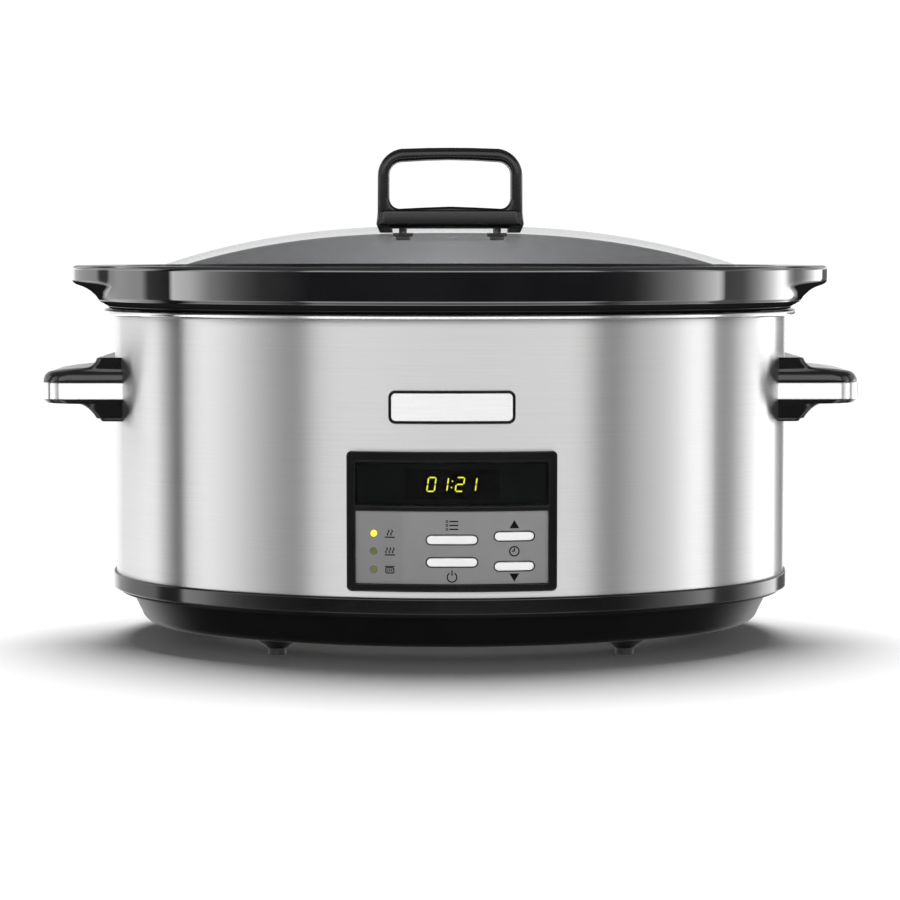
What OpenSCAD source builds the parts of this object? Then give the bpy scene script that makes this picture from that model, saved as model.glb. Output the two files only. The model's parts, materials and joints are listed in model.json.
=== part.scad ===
// Oval slow cooker: a steel-wrapped base with a heating well, a lift-out crock and
// a domed glass lid. It stands on Z = 0 and its front, with the controls, faces -Y.

/* [Shell] */
// Width of the steel wrap, end to end
wrap_w = 370; // [368:1:372]
// Depth of the steel wrap, front to back
wrap_d = 286; // [285:1:287]
// Thickness of the sheet metal in the wrap and the well
sheet_t = 0.8; // [0.6:0.1:1.0]
// Height of the wrap's lower edge
wrap_bottom = 33; // [32:0.5:34]
// Height of the wrap's upper edge, under the well's flange
wrap_top = 179.4; // [178:0.2:180]

/* [Base] */
// Height of the base ring's upper edge
ring_top = 37.6; // [37:0.1:39]
// Height of the base ring's lower edge
ring_bottom = 29; // [28:0.5:30]
// How far the base ring stands out from the wrap
ring_proud = 1.8; // [1.2:0.1:2.4]
// Height of the base pan's flat underside
pan_bottom = 9.5; // [9:0.1:10]
// Thickness of the base pan
pan_t = 2.5; // [2:0.1:3]
// Distance of each foot from the middle, end to end
foot_x = 92; // [88:1:94]
// Distance of each foot from the middle, front to back
foot_y = 80; // [76:1:81]
// Radius of a rubber foot
foot_r = 4.85; // [4:0.05:5.5]
// Height of a rubber foot below its boss
foot_h = 3.7; // [3:0.1:4.5]

/* [Heating well] */
// Gap from the wrap's outer face to the well's outer face
well_in = 15.5; // [15:0.1:16]
// Height of the well's floor inside
well_floor = 61; // [60:0.5:62]
// Radius of the rolled bead around the well's flange
bead_r = 1.6; // [1.4:0.1:1.8]
// How far the bead's centre stands out from the wrap
bead_out = 4.7; // [4.2:0.1:5]

/* [Crock] */
// Height of the crock's rim
rim_z = 205; // [204:0.5:206]
// How far the crock's rim stands out from the wrap
rim_out = 9; // [8.5:0.1:9.5]
// Height of the crock's underside
crock_bottom = 66; // [65:0.5:67]
// Thickness of the crock's floor
crock_floor_t = 8; // [7:0.5:9]
// Distance from the middle to the tip of a crock lug
lug_reach = 208.7; // [206:0.1:210]
// Plan radius of a crock lug
lug_r = 75; // [73:1:77]

/* [Lid] */
// Height of the glass dome's top
dome_z = 226.8; // [226:0.1:227.5]
// Thickness of the lid glass
glass_t = 4; // [3.5:0.1:4.5]
// Width of the lid handle's loop at its foot
lid_handle_w = 81.4; // [80:0.2:83]
// Height of the top of the lid handle
lid_handle_top = 269.4; // [268:0.1:271]
// Depth of the lid handle, front to back
lid_handle_d = 24; // [20:1:28]
// Distance of each lid handle screw from the middle
lid_screw_x = 26; // [25:0.5:27]

/* [Control panel] */
// Width of the panel bezel
panel_w = 107; // [106:0.5:108]
// Height of the panel bezel
panel_h = 71.3; // [70.8:0.1:71.8]
// Height of the middle of the panel
panel_z = 76.5; // [76.3:0.05:76.7]
// How far the bezel stands out from the wrap
panel_proud = 2.6; // [2:0.1:3]
// Width of the two panel windows
window_w = 98.2; // [98:0.1:98.4]
// How far a push button travels
button_travel = 0.5; // [0.3:0.05:0.5]

/* [Side handles] */
// Distance from the middle to the tip of a side handle
grip_reach = 221.5; // [220:0.5:223]
// Half the depth of a side handle, front to back
grip_half = 43; // [41:0.5:45]
// Height of the middle of the bright band
band_z = 137.4; // [136:0.2:139]
// Height of the bright band
band_h = 8.9; // [8:0.1:9.5]

/* [Badge] */
// Width of the badge plate
badge_w = 64.4; // [60:0.2:68]
// Height of the badge plate
badge_h = 16.9; // [15:0.1:18]
// Height of the middle of the badge
badge_z = 134.5; // [132:0.5:137]

/* [Hidden] */

// The plan is an oval of four arcs laid out on a 3-4-5 triangle, so every offset of it
// is again four arcs with the same centres.
unit = (wrap_w - wrap_d) / 4;
end_c = 3 * unit;
long_c = 4 * unit;
end_r = wrap_d / 2 - unit;
long_r = end_r + 5 * unit;
wedge_k = 100;
wedge_low = -10;
wedge_high = 300;
arc_fn = 180;
$fn = 48;

// Joints between parts
fit_gap = 0.1;
rest_gap = 0.3;

// Front plates lie on cylinders around this line
front_c = long_c;
front_near = -125;
front_far = -160;

// Base
pan_top_in = 10.6;
pan_opening = 63;
pan_floor = pan_bottom + pan_t;
plate_t = 0.8;
plate_in = 55;
plate_screw_in = 59;
boss_r = 15;
boss_tip_r = 6.2;
stem_r = 2.5;
post_x = 120;
post_y = 35;
post_r = 4;
shield_z = 50;
shield_in = 45;
bolt_r = 3;
pcb_x = -61;
pcb_w = 96;
pcb_d = 60;
pcb_z = 21;

// Crock
crock_wall_out = 19.5;
crock_base_out = 24;
crock_wall_in = 26.5;
crock_base_in = 31;
ledge_z = 198.1;
slab_in = 55;
crock_seat = wrap_top + 0.2 + bead_r + rest_gap;

// Lid
lid_in = 8;
dome_in = 25;
dome_flat_in = 113;
dome_hole_in = 118;
dome_hole_x = 70;
dome_drop = 22.4;
dome_power = 1.12;
dome_steps = 12;
grip_hole_w = 67;
grip_hole_h = 26.1;
grip_hole_z = 249;

// Panel: heights of its windows and the places of its controls
lens_z = 95.7;
lens_h = 23;
fascia_z = 63.3;
fascia_h = 37.2;
plate_r = 1.4;
ledge_r = 2;
ledge_w = 1.5;
cutout_w = 100;
cutout_h = 65.3;
peg_x = 47.5;
peg_z = 30.15;
peg_w = 5;
clip_w = 3;
clip_h = 14;
board_front = -135.5;
board_t = 1.6;
board_w = 97;
board_h = 63.6;
panel_screw_x = 47;
panel_screw_z = 29.6;
led_x = -39.6;
led_z = [70.5, 61.5, 52.2];
led_r = 1.6;
button_h = 5;
button_gap = 0.25;
button_proud = 0.6;
wide_button = 26.2;
small_button = 20.6;
arrow_x = 31.6;
menu_z = 67.4;
power_z = 56;
up_z = 69.1;
down_z = 53.8;
switch_h = 1.8;
plunger_tip = 2.5;
display_depth = 4.8;
display_w = 48;
display_h = 15;
digit_h = 7;
digit_w = 3.8;
digit_pitch = 6.3;
digit_z = 95.3;
segment_t = 0.7;
segment_gap = 0.4;
colon_size = 0.7;
slant = 0.14;

// Side handles
flange_top = 155.5;
flange_bottom = 121;
grip_round = 14;
pocket_x = 206.3;
pocket_w = 20;
pocket_r = 6;
pocket_end = 7;
pocket_top = 143;
band_depth = 1;
band_proud = 0.5;
screw_angle = 14;
screw_z = 138;

// Inlet
gland_z = 50;
gland_r = 8;
gland_bore = 4;

function arc(cx, cz, r, from, to, n) =
    [for (i = [0:n]) let (a = from + (to - from) * i / n) [cx + r * cos(a), cz + r * sin(a)]];

function reversed(list) = [for (i = [len(list) - 1:-1:0]) list[i]];

// ---- Plan oval ----

module end_wedge(side) {
    translate([side * end_c, 0, wedge_low])
        linear_extrude(wedge_high - wedge_low)
            polygon([[0, 0], [side * 3 * wedge_k, -4 * wedge_k], [side * 3 * wedge_k, 4 * wedge_k]]);
}

module long_wedge(side) {
    translate([0, -side * long_c, wedge_low])
        linear_extrude(wedge_high - wedge_low)
            polygon([[0, 0], [-3 * wedge_k, side * 4 * wedge_k], [3 * wedge_k, side * 4 * wedge_k]]);
}

// Sweeps a section around the oval: its X is the distance out from the wrap's outer
// face and its Y is the height
module sweep_oval() {
    for (side = [-1, 1]) {
        intersection() {
            translate([side * end_c, 0, 0])
                rotate_extrude($fn = arc_fn)
                    translate([end_r, 0])
                        children();
            end_wedge(side);
        }
        intersection() {
            translate([0, -side * long_c, 0])
                rotate_extrude($fn = arc_fn)
                    translate([long_r, 0])
                        children();
            long_wedge(side);
        }
    }
}

// A flat oval, set in from the wrap's outer face
module oval_slab(inset, z, h) {
    for (side = [-1, 1]) {
        intersection() {
            translate([side * end_c, 0, z])
                cylinder(r = end_r - inset, h = h, $fn = arc_fn);
            end_wedge(side);
        }
        intersection() {
            translate([0, -side * long_c, z])
                cylinder(r = long_r - inset, h = h, $fn = arc_fn);
            long_wedge(side);
        }
    }
}

// ---- Shared shapes ----

module rounded_rect(w, h, r) {
    square([w - 2 * r, h], center = true);
    square([w, h - 2 * r], center = true);
    for (x = [-1, 1], y = [-1, 1])
        translate([x * (w / 2 - r), y * (h / 2 - r)])
            circle(r);
}

module stadium(w, h) {
    square([w - h, h], center = true);
    for (x = [-1, 1])
        translate([x * (w - h) / 2, 0])
            circle(h / 2);
}

// Extrudes an outline drawn in X and Z through the front of the cooker
module front_prism(x, z, near = front_near, far = front_far) {
    translate([x, near, z])
        rotate([90, 0, 0])
            linear_extrude(near - far)
                children();
}

// A curved plate on the front between two distances out from the wrap
module front_plate(x, z, inner, outer) {
    intersection() {
        difference() {
            translate([0, front_c, 0])
                cylinder(r = long_r + outer, h = wrap_top, $fn = arc_fn);
            translate([0, front_c, -1])
                cylinder(r = long_r + inner, h = wrap_top + 2, $fn = arc_fn);
        }
        front_prism(x, z)
            children();
    }
}

module rod(from, to, r) {
    v = to - from;
    length = norm(v);
    translate(from)
        rotate([0, acos(v[2] / length), atan2(v[1], v[0])])
            cylinder(r = r, h = length);
}

module wire(points, r) {
    for (i = [1:len(points) - 1])
        rod(points[i - 1], points[i], r);
    for (i = [1:1:len(points) - 2])
        translate(points[i])
            sphere(r + 0.1);
}

// A pan-head screw that points up, with the underside of its head at the origin
module screw_up(head_r, head_h, shank_r, shank_h) {
    translate([0, 0, -head_h])
        cylinder(r = head_r, h = head_h);
    translate([0, 0, -head_h / 2])
        cylinder(r = shank_r, h = shank_h + head_h / 2);
}

// ---- Shell and base ----

module outer_wrap() {
    color("silver") difference() {
        sweep_oval()
            translate([-sheet_t, wrap_bottom])
                square([sheet_t, wrap_top - wrap_bottom]);
        front_prism(0, panel_z)
            rounded_rect(cutout_w + 2 * fit_gap, cutout_h + 2 * fit_gap, 2);
        for (x = [-1, 1])
            translate([x * 24, front_near, badge_z])
                rotate([90, 0, 0])
                    cylinder(r = 1.2, h = 40);
        handle_screw_places(end_r - 3)
            cylinder(r = 2, h = 6);
        translate([0, wrap_d / 2 - 5, gland_z])
            rotate([-90, 0, 0])
                cylinder(r = gland_r, h = 10);
    }
}

module base_ring() {
    color("#151515") sweep_oval()
        polygon([
            [-2.8, ring_bottom], [ring_proud - 0.6, ring_bottom],
            [ring_proud, ring_bottom + 0.6], [ring_proud, ring_top - 0.7],
            [ring_proud - 0.7, ring_top], [0, ring_top], [0, wrap_bottom],
            [-sheet_t, wrap_bottom], [-sheet_t, ring_top - 2], [-2.8, ring_top - 2]
        ]);
}

module foot_places() {
    for (x = [-1, 1], y = [-1, 1])
        translate([x * foot_x, y * foot_y, 0])
            children();
}

module plate_screw_places() {
    for (s = [-1, 1]) {
        translate([s * (wrap_w / 2 - plate_screw_in), 0, 0])
            children();
        translate([0, s * (wrap_d / 2 - plate_screw_in), 0])
            children();
    }
}

module post_places() {
    for (x = [-1, 1], y = [-1, 1])
        translate([x * post_x, y * post_y, 0])
            children();
}

module base_pan() {
    round_x = -21;
    round_z = pan_bottom + 7.5;
    color("#1c1c1c") difference() {
        union() {
            sweep_oval()
                polygon(concat(
                    [[-1.5, ring_bottom], [-1.5, ring_bottom - 2], [-8.2, ring_bottom - 2]],
                    arc(round_x, round_z, 7.5, -15, -90, 6),
                    [[-pan_opening, pan_bottom], [-pan_opening, pan_floor]],
                    arc(round_x, round_z, 7.5 - pan_t, -90, -15, 6),
                    [[-pan_top_in, ring_bottom - 1.4], [-pan_top_in, ring_bottom]]
                ));
            foot_places()
                translate([0, 0, foot_h])
                    cylinder(r1 = boss_tip_r, r2 = boss_r, h = pan_bottom - foot_h);
            post_places()
                translate([0, 0, pan_bottom + 1])
                    cylinder(r = post_r, h = shield_z - pan_bottom - 1);
            plate_screw_places()
                translate([0, 0, pan_bottom])
                    cylinder(r = 4, h = 9);
        }
        foot_places()
            cylinder(r = stem_r, h = 20);
        post_places()
            translate([0, 0, shield_z - 8])
                cylinder(r = 1.5, h = 10);
        plate_screw_places()
            translate([0, 0, pan_bottom - 1])
                cylinder(r = 1.6, h = 7.5);
    }
}

module rubber_feet() {
    head_z = pan_floor;
    color("#101010") foot_places() {
        cylinder(r = foot_r, h = foot_h);
        translate([0, 0, foot_h / 2])
            cylinder(r = stem_r, h = head_z);
        translate([0, 0, head_z])
            cylinder(r1 = stem_r + 0.9, r2 = stem_r, h = 2.5);
    }
}

module bottom_plate() {
    color("dimgray") difference() {
        oval_slab(plate_in, pan_bottom - plate_t, plate_t);
        translate([0, 0, pan_bottom - 2])
            cylinder(r = bolt_r, h = 4);
        plate_screw_places()
            translate([0, 0, pan_bottom - 2])
                cylinder(r = 1.6, h = 4);
        for (x = [50:10:90], y = [-1, 1])
            translate([x, y * 20, pan_bottom - 2])
                linear_extrude(4)
                    rotate(90)
                        stadium(26, 3);
    }
}

module base_screws() {
    color("gainsboro") plate_screw_places()
        translate([0, 0, pan_bottom - plate_t])
            screw_up(3.4, 1.5, 1.6, 6);
}

module tie_bolt() {
    color("gainsboro") {
        translate([0, 0, 5])
            cylinder(r = bolt_r, h = well_floor - sheet_t - 5);
        translate([0, 0, well_floor - sheet_t - 2])
            cylinder(r = 8, h = 2);
    }
}

module tie_nut() {
    nut_z = pan_bottom - plate_t;
    color("gainsboro") difference() {
        union() {
            translate([0, 0, nut_z - 0.8])
                cylinder(r = 8, h = 0.8);
            translate([0, 0, nut_z - 3.2])
                cylinder(r = 5.6, h = 2.4, $fn = 6);
        }
        translate([0, 0, 2])
            cylinder(r = bolt_r, h = 10);
    }
}

// ---- Heating well and what surrounds it ----

module heating_well() {
    neck = 3;
    corner = 16;
    neck_z = wrap_top - neck;
    corner_z = well_floor + corner;
    corner_x = -well_in - sheet_t - corner;
    color("lightgray") difference() {
        union() {
            sweep_oval() {
                polygon(concat(
                    [[bead_out, wrap_top]],
                    arc(neck - well_in, neck_z, neck, 90, 180, 5),
                    arc(corner_x, corner_z, corner + sheet_t, 0, -90, 8),
                    [[-slab_in - 5, well_floor - sheet_t], [-slab_in - 5, well_floor]],
                    arc(corner_x, corner_z, corner, -90, 0, 8),
                    arc(neck - well_in, neck_z, neck + sheet_t, 180, 90, 5),
                    [[bead_out, wrap_top + sheet_t]]
                ));
                translate([bead_out, wrap_top + 0.2])
                    circle(bead_r);
            }
            oval_slab(slab_in, well_floor - sheet_t, sheet_t);
        }
        translate([-60, 0, well_floor - 5])
            cylinder(r = 6.2, h = 10);
    }
}

module heater_band() {
    color("#8a6a4a") {
        sweep_oval()
            translate([-well_in, 80])
                square([1.2, 36]);
        for (x = [-1, 1])
            translate([x * 6 - 2.5, wrap_d / 2 - well_in + 0.6, 82])
                cube([5, 3, 9]);
    }
}

module heater_clamp() {
    lug_y = wrap_d / 2 - well_in + 1.5;
    color("silver") {
        sweep_oval()
            translate([-well_in + 1.2, 98])
                square([0.6, 10]);
        for (x = [-1, 1])
            translate([x * 5 - 0.6, lug_y, 98])
                cube([1.2, 8, 10]);
        translate([-9, lug_y + 5, 103])
            rotate([0, 90, 0])
                cylinder(r = 1.5, h = 18);
    }
}

module insulation_blanket() {
    color("#e8e4d8") difference() {
        sweep_oval()
            translate([-13.4, 68])
                square([3, 100]);
        translate([-14, wrap_d / 2 - 20, 60])
            cube([28, 30, 120]);
    }
}

module heat_shield() {
    color("silver") difference() {
        oval_slab(shield_in, shield_z, 0.6);
        translate([0, 0, shield_z - 1])
            cylinder(r = bolt_r + 1, h = 4);
        post_places()
            translate([0, 0, shield_z - 1])
                cylinder(r = 1.5, h = 4);
    }
}

module shield_screws() {
    color("gainsboro") post_places()
        translate([0, 0, shield_z + 0.6])
            mirror([0, 0, 1])
                screw_up(3.2, 1.6, 1.5, 7);
}

module temperature_sensor() {
    color("silver") {
        translate([-60, 0, well_floor - 8])
            cylinder(r = 6, h = 8);
        translate([-60, 0, well_floor - sheet_t - 1.2])
            cylinder(r = 9, h = 1.2);
    }
}

module thermal_fuse() {
    fuse_z = well_floor - sheet_t - 3.2;
    color("wheat") {
        translate([52, -40, fuse_z])
            rotate([0, 90, 0])
                cylinder(r = 2.2, h = 16);
        translate([57, -44, fuse_z])
            cube([6, 8, 3.2]);
    }
}

// ---- Power electronics on the bottom plate ----

module board_corners() {
    for (x = [-1, 1], y = [-1, 1])
        translate([pcb_x + x * (pcb_w / 2 - 4), y * (pcb_d / 2 - 4), 0])
            children();
}

module board_bracket() {
    sheet = 1;
    top_z = 15;
    color("silver") difference() {
        union() {
            translate([pcb_x - pcb_w / 2, -pcb_d / 2, top_z - sheet])
                cube([pcb_w, pcb_d, sheet]);
            for (y = [-1, 1])
                translate([pcb_x - pcb_w / 2 + 5, y * (pcb_d / 2 - sheet / 2) - sheet / 2, pan_bottom])
                    cube([pcb_w - 10, sheet, top_z - pan_bottom]);
            board_corners()
                translate([0, 0, top_z - sheet / 2])
                    cylinder(r = 3, h = pcb_z - top_z + sheet / 2);
        }
        board_corners()
            translate([0, 0, pcb_z - 4])
                cylinder(r = 1.4, h = 5);
    }
}

module power_board() {
    color("darkgreen") difference() {
        translate([pcb_x - pcb_w / 2, -pcb_d / 2, pcb_z])
            cube([pcb_w, pcb_d, board_t]);
        board_corners()
            translate([0, 0, pcb_z - 1])
                cylinder(r = 1.4, h = 4);
    }
}

module board_screws() {
    color("gainsboro") board_corners()
        translate([0, 0, pcb_z + board_t])
            mirror([0, 0, 1])
                screw_up(2.8, 1.6, 1.4, 5);
}

module relay() {
    color("#2b4f8c") translate([-46, -20, pcb_z + board_t])
        cube([19, 15.5, 15.5]);
}

module transformer() {
    core_z = pcb_z + board_t;
    color("#3a3a3a") translate([-100, -14, core_z + 3])
        cube([30, 28, 20]);
    color("goldenrod") translate([-97, -17, core_z])
        cube([24, 34, 23]);
}

module filter_capacitor() {
    color("gold") translate([-46, 8, pcb_z + board_t])
        cube([18, 9, 15]);
}

module terminal_block() {
    color("ivory") difference() {
        union() {
            translate([27, 38, pan_bottom])
                cube([36, 14, 10]);
            for (x = [31, 41, 51])
                translate([x, 41, pan_bottom + 9])
                    cube([8, 8, 5.5]);
        }
        for (x = [35, 45, 55])
            translate([x, 45, pan_bottom + 8])
                cylinder(r = 1.8, h = 10);
    }
}

module heater_leads() {
    color("white") for (x = [-1, 1])
        wire([
            [45 + x * 10, 45, pan_bottom + 8], [45 + x * 10, 45, 34],
            [x * 6, 112, 44], [x * 6, 129.6, 60], [x * 6, 129.6, 82]
        ], 1.1);
}

module board_leads() {
    color("crimson") for (y = [42, 48])
        wire([
            [27, y, 15], [24, y, 15], [18, y, 26],
            [-18, y - 30, 30], [-18, y - 30, pcb_z + board_t]
        ], 1);
}

// ---- Inlet ----

module cord_gland() {
    color("#202020") difference() {
        union() {
            translate([0, wrap_d / 2 - 9, gland_z])
                rotate([-90, 0, 0])
                    cylinder(r = gland_r, h = 10);
            translate([0, wrap_d / 2 - 0.5, gland_z])
                rotate([-90, 0, 0])
                    cylinder(r = 11, h = 3.5);
        }
        difference() {
            translate([0, -long_c, gland_z - 15])
                cylinder(r = long_r, h = 30, $fn = arc_fn);
            translate([0, wrap_d / 2 - 10, gland_z])
                rotate([-90, 0, 0])
                    cylinder(r = gland_r, h = 11);
        }
        translate([0, wrap_d / 2 - 15, gland_z])
            rotate([-90, 0, 0])
                cylinder(r = gland_bore, h = 25);
    }
}

module gland_nut() {
    color("#202020") translate([0, wrap_d / 2 - 5.5, gland_z])
        rotate([-90, 0, 0])
            difference() {
                cylinder(r = 11, h = 4);
                translate([0, 0, -1])
                    cylinder(r = gland_r, h = 6);
            }
}

// ---- Control panel ----

module panel_bezel() {
    opening_w = window_w - 2 * ledge_w;
    color("#141414") {
        front_plate(0, panel_z, 0, panel_proud)
            difference() {
                rounded_rect(panel_w, panel_h, 2.5);
                translate([0, lens_z - panel_z])
                    rounded_rect(window_w, lens_h, 1);
                translate([0, fascia_z - panel_z])
                    rounded_rect(window_w, fascia_h, 1);
            }
        front_plate(0, panel_z, -ledge_r, 0)
            difference() {
                rounded_rect(cutout_w, cutout_h, 2);
                translate([0, lens_z - panel_z])
                    rounded_rect(opening_w, lens_h - 2 * ledge_w, 1);
                translate([0, fascia_z - panel_z])
                    rounded_rect(opening_w, fascia_h - 2 * ledge_w, 1);
            }
        intersection() {
            for (x = [-1, 1], z = [-1, 1])
                translate([x * peg_x - peg_w / 2, -140, panel_z + z * peg_z - peg_w / 2])
                    cube([peg_w, 140 + board_front, peg_w]);
            translate([0, front_c, 0])
                cylinder(r = long_r - 1, h = wrap_top, $fn = arc_fn);
        }
        for (x = [-1, 1])
            front_plate(x * (cutout_w / 2), panel_z, -ledge_r, -sheet_t - 0.2)
                square([clip_w, clip_h], center = true);
    }
}

module display_lens() {
    color("#101014") front_plate(0, lens_z, 0, plate_r)
        rounded_rect(window_w - 2 * fit_gap, lens_h - 2 * fit_gap, 1);
}

module button_outline(wide, grow) {
    stadium(wide + 2 * grow, button_h + 2 * grow);
}

module fascia_plate() {
    color("gray") difference() {
        front_plate(0, fascia_z, 0, plate_r)
            rounded_rect(window_w - 2 * fit_gap, fascia_h - 2 * fit_gap, 1);
        for (z = [menu_z, power_z])
            front_prism(0, z)
                button_outline(wide_button, button_gap);
        for (z = [up_z, down_z])
            front_prism(arrow_x, z)
                button_outline(small_button, button_gap);
        for (z = led_z)
            translate([led_x, front_near, z])
                rotate([90, 0, 0])
                    cylinder(r = led_r + fit_gap, h = 40);
    }
}

module push_button(x, z, wide) {
    stem_back = board_front - plunger_tip - button_travel - fit_gap;
    color("gainsboro") {
        front_plate(x, z, -fit_gap - 0.2, plate_r + button_proud)
            button_outline(wide, 0);
        front_plate(x, z, -1.2, -fit_gap)
            button_outline(wide, 1);
        intersection() {
            translate([x, stem_back, z])
                rotate([90, 0, 0])
                    cylinder(r = 1.8, h = 10);
            translate([0, front_c, 0])
                cylinder(r = long_r - 0.6, h = wrap_top, $fn = arc_fn);
        }
    }
}

module menu_button() push_button(0, menu_z, wide_button);
module power_button() push_button(0, power_z, wide_button);
module up_button() push_button(arrow_x, up_z, small_button);
module down_button() push_button(arrow_x, down_z, small_button);

module tact_switch(x, z) {
    body = 6;
    translate([x - body / 2, board_front - switch_h, z - body / 2])
        cube([body, switch_h, body]);
    translate([x, board_front - switch_h / 2, z])
        rotate([90, 0, 0])
            cylinder(r = 1.6, h = plunger_tip - switch_h / 2);
}

module tact_switches() {
    color("#303030") {
        tact_switch(0, menu_z);
        tact_switch(0, power_z);
        tact_switch(arrow_x, up_z);
        tact_switch(arrow_x, down_z);
    }
}

module control_board() {
    color("darkgreen") difference() {
        translate([-board_w / 2, board_front, panel_z - board_h / 2])
            cube([board_w, board_t, board_h]);
        panel_screw_places()
            translate([0, 0, -4])
                cylinder(r = 1, h = 8);
    }
}

// Places on the back of the control board, pointing out of the front
module panel_screw_places() {
    for (x = [-1, 1], z = [-1, 1])
        translate([x * panel_screw_x, board_front + board_t, panel_z + z * panel_screw_z])
            rotate([90, 0, 0])
                children();
}

module panel_screws() {
    color("gainsboro") panel_screw_places()
        screw_up(1.5, 1.2, 1, 1.5);
}

module display_module() {
    color("#181818")
        translate([-display_w / 2, board_front - display_depth, digit_z - display_h / 2])
            cube([display_w, display_depth, display_h]);
}

// Seven bars of one digit: top, two upper, middle, two lower, bottom
SEGMENTS = [
    [1, 1, 1, 0, 1, 1, 1], [0, 0, 1, 0, 0, 1, 0], [1, 0, 1, 1, 1, 0, 1]
];

module bar(length) {
    t = segment_t / 2;
    half = (length - segment_gap) / 2;
    polygon([[-half, 0], [t - half, t], [half - t, t], [half, 0], [half - t, -t], [t - half, -t]]);
}

module digit(value) {
    x = digit_w / 2;
    z = digit_h / 2;
    places = [[0, z, 0], [-x, z / 2, 90], [x, z / 2, 90], [0, 0, 0],
              [-x, -z / 2, 90], [x, -z / 2, 90], [0, -z, 0]];
    for (i = [0:6])
        if (SEGMENTS[value][i] == 1)
            translate([places[i][0] + slant * places[i][1], places[i][1]])
                multmatrix([[1, slant, 0, 0], [0, 1, 0, 0], [0, 0, 1, 0], [0, 0, 0, 1]])
                    rotate(places[i][2])
                        bar(places[i][2] == 0 ? digit_w : z);
}

module display_digits() {
    front = board_front - display_depth;
    color("greenyellow") front_prism(0, digit_z, front, front - rest_gap) {
        for (i = [0:3])
            translate([(i - 1.5) * digit_pitch + (i < 2 ? -0.9 : 0.9), 0])
                digit([0, 1, 2, 1][i]);
        for (z = [-1.6, 1.6])
            translate([slant * z, z])
                square(colon_size, center = true);
    }
}

module indicator(i) {
    front = front_c - sqrt(pow(long_r + plate_r, 2) - led_x * led_x) - 0.3;
    translate([led_x, board_front, led_z[i]])
        rotate([90, 0, 0])
            cylinder(r = led_r, h = board_front - front);
}

module low_led() color("yellow") indicator(0);
module high_led() color("olive") indicator(1);
module warm_led() color("darkgoldenrod") indicator(2);

// A flat cable from the control board down and back to the power board
module ribbon_cable() {
    strip = [[-131, 46.5], [-128.5, 40], [-118, 32], [-60, 27], [-30, 26]];
    thick = 0.9;
    back = board_front + board_t;
    color("lightgray") {
        translate([-24, 0, 0])
            rotate([90, 0, -90])
                linear_extrude(14)
                    polygon(concat(
                        [for (p = strip) [-p[0], p[1]]],
                        reversed([for (p = strip) [thick - p[0], p[1] - thick]])
                    ));
        translate([-40, back, 46])
            cube([18, 5, 6]);
        translate([-40, -30, pcb_z + board_t])
            cube([18, 6, 6]);
    }
}

module badge_plate() {
    color("silver") {
        front_plate(0, badge_z, 0, 1.2)
            rounded_rect(badge_w, badge_h, 3.5);
        for (x = [-1, 1])
            intersection() {
                translate([x * 24, front_near - 12, badge_z])
                    rotate([90, 0, 0])
                        cylinder(r = 1.2, h = 10);
                translate([0, front_c, 0])
                    cylinder(r = long_r + 0.6, h = wrap_top, $fn = arc_fn);
            }
    }
}

// ---- Side handles ----

// Screw places on the ends of the wrap, pointing out from the end arc's centre
module handle_screw_places(distance, sides = [-1, 1]) {
    for (side = sides, a = [-screw_angle, screw_angle])
        translate([side * end_c, 0, screw_z])
            rotate([0, 0, a + (side < 0 ? 180 : 0)])
                translate([distance, 0, 0])
                    rotate([0, 90, 0])
                        children();
}

module grip_plan(grow, z, h) {
    length = grip_reach - 100;
    translate([100 + length / 2, 0, z])
        linear_extrude(h)
            rounded_rect(length + 2 * grow, 2 * (grip_half + grow), grip_round + grow);
}

// Section of a handle in X and Z, as seen from the front
module grip_section() {
    tip = grip_reach;
    polygon(concat(
        [[140, flange_bottom], [189.5, flange_bottom]],
        arc(205, 115, 15.5, 157, 95, 6),
        [[tip - 4, 130.6]],
        arc(tip - 3, 133.6, 3, -80, 0, 3),
        arc(tip - 5, 142.5, 5, 0, 80, 4),
        [[tip - 12, 149], [198, 150]],
        arc(198, 157, 7, -90, -170, 4),
        [[190.5, flange_top], [140, flange_top]]
    ));
}

module right_grip() {
    difference() {
        intersection() {
            translate([0, grip_half, 0])
                rotate([90, 0, 0])
                    linear_extrude(2 * grip_half)
                        grip_section();
            grip_plan(0, 100, 80);
        }
        translate([end_c, 0, 100])
            cylinder(r = end_r, h = 80, $fn = arc_fn);
        difference() {
            grip_plan(2, band_z - band_h / 2, band_h);
            grip_plan(-band_depth, band_z - band_h, 2 * band_h);
        }
        translate([pocket_x, 0, 110])
            linear_extrude(pocket_top - 110)
                rounded_rect(pocket_w, 2 * grip_half - 2 * pocket_end, pocket_r);
        handle_screw_places(end_r - 3, [1])
            cylinder(r = 2, h = 13);
    }
}

module right_band() {
    difference() {
        grip_plan(band_proud, band_z - band_h / 2, band_h);
        grip_plan(-band_depth, band_z - band_h, 2 * band_h);
        translate([end_c, 0, 100])
            cylinder(r = end_r, h = 80, $fn = arc_fn);
    }
}

module right_handle() color("#161616") right_grip();
module left_handle() color("#161616") mirror([1, 0, 0]) right_grip();
module right_handle_trim() color("gainsboro") right_band();
module left_handle_trim() color("gainsboro") mirror([1, 0, 0]) right_band();

module handle_brackets() {
    color("silver") for (side = [-1, 1])
        difference() {
            intersection() {
                difference() {
                    translate([side * end_c, 0, 0])
                        cylinder(r = end_r - sheet_t, h = wrap_top, $fn = arc_fn);
                    translate([side * end_c, 0, -1])
                        cylinder(r = end_r - 2.3, h = wrap_top + 2, $fn = arc_fn);
                }
                translate([side * 180 - 20, -40, 126])
                    cube([40, 80, 24]);
            }
            handle_screw_places(end_r - 6, [side])
                cylinder(r = 2, h = 12);
        }
}

module handle_screws() {
    color("gainsboro") handle_screw_places(end_r - 2.4)
        screw_up(3.6, 2, 2, 11);
}

// ---- Crock ----

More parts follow.
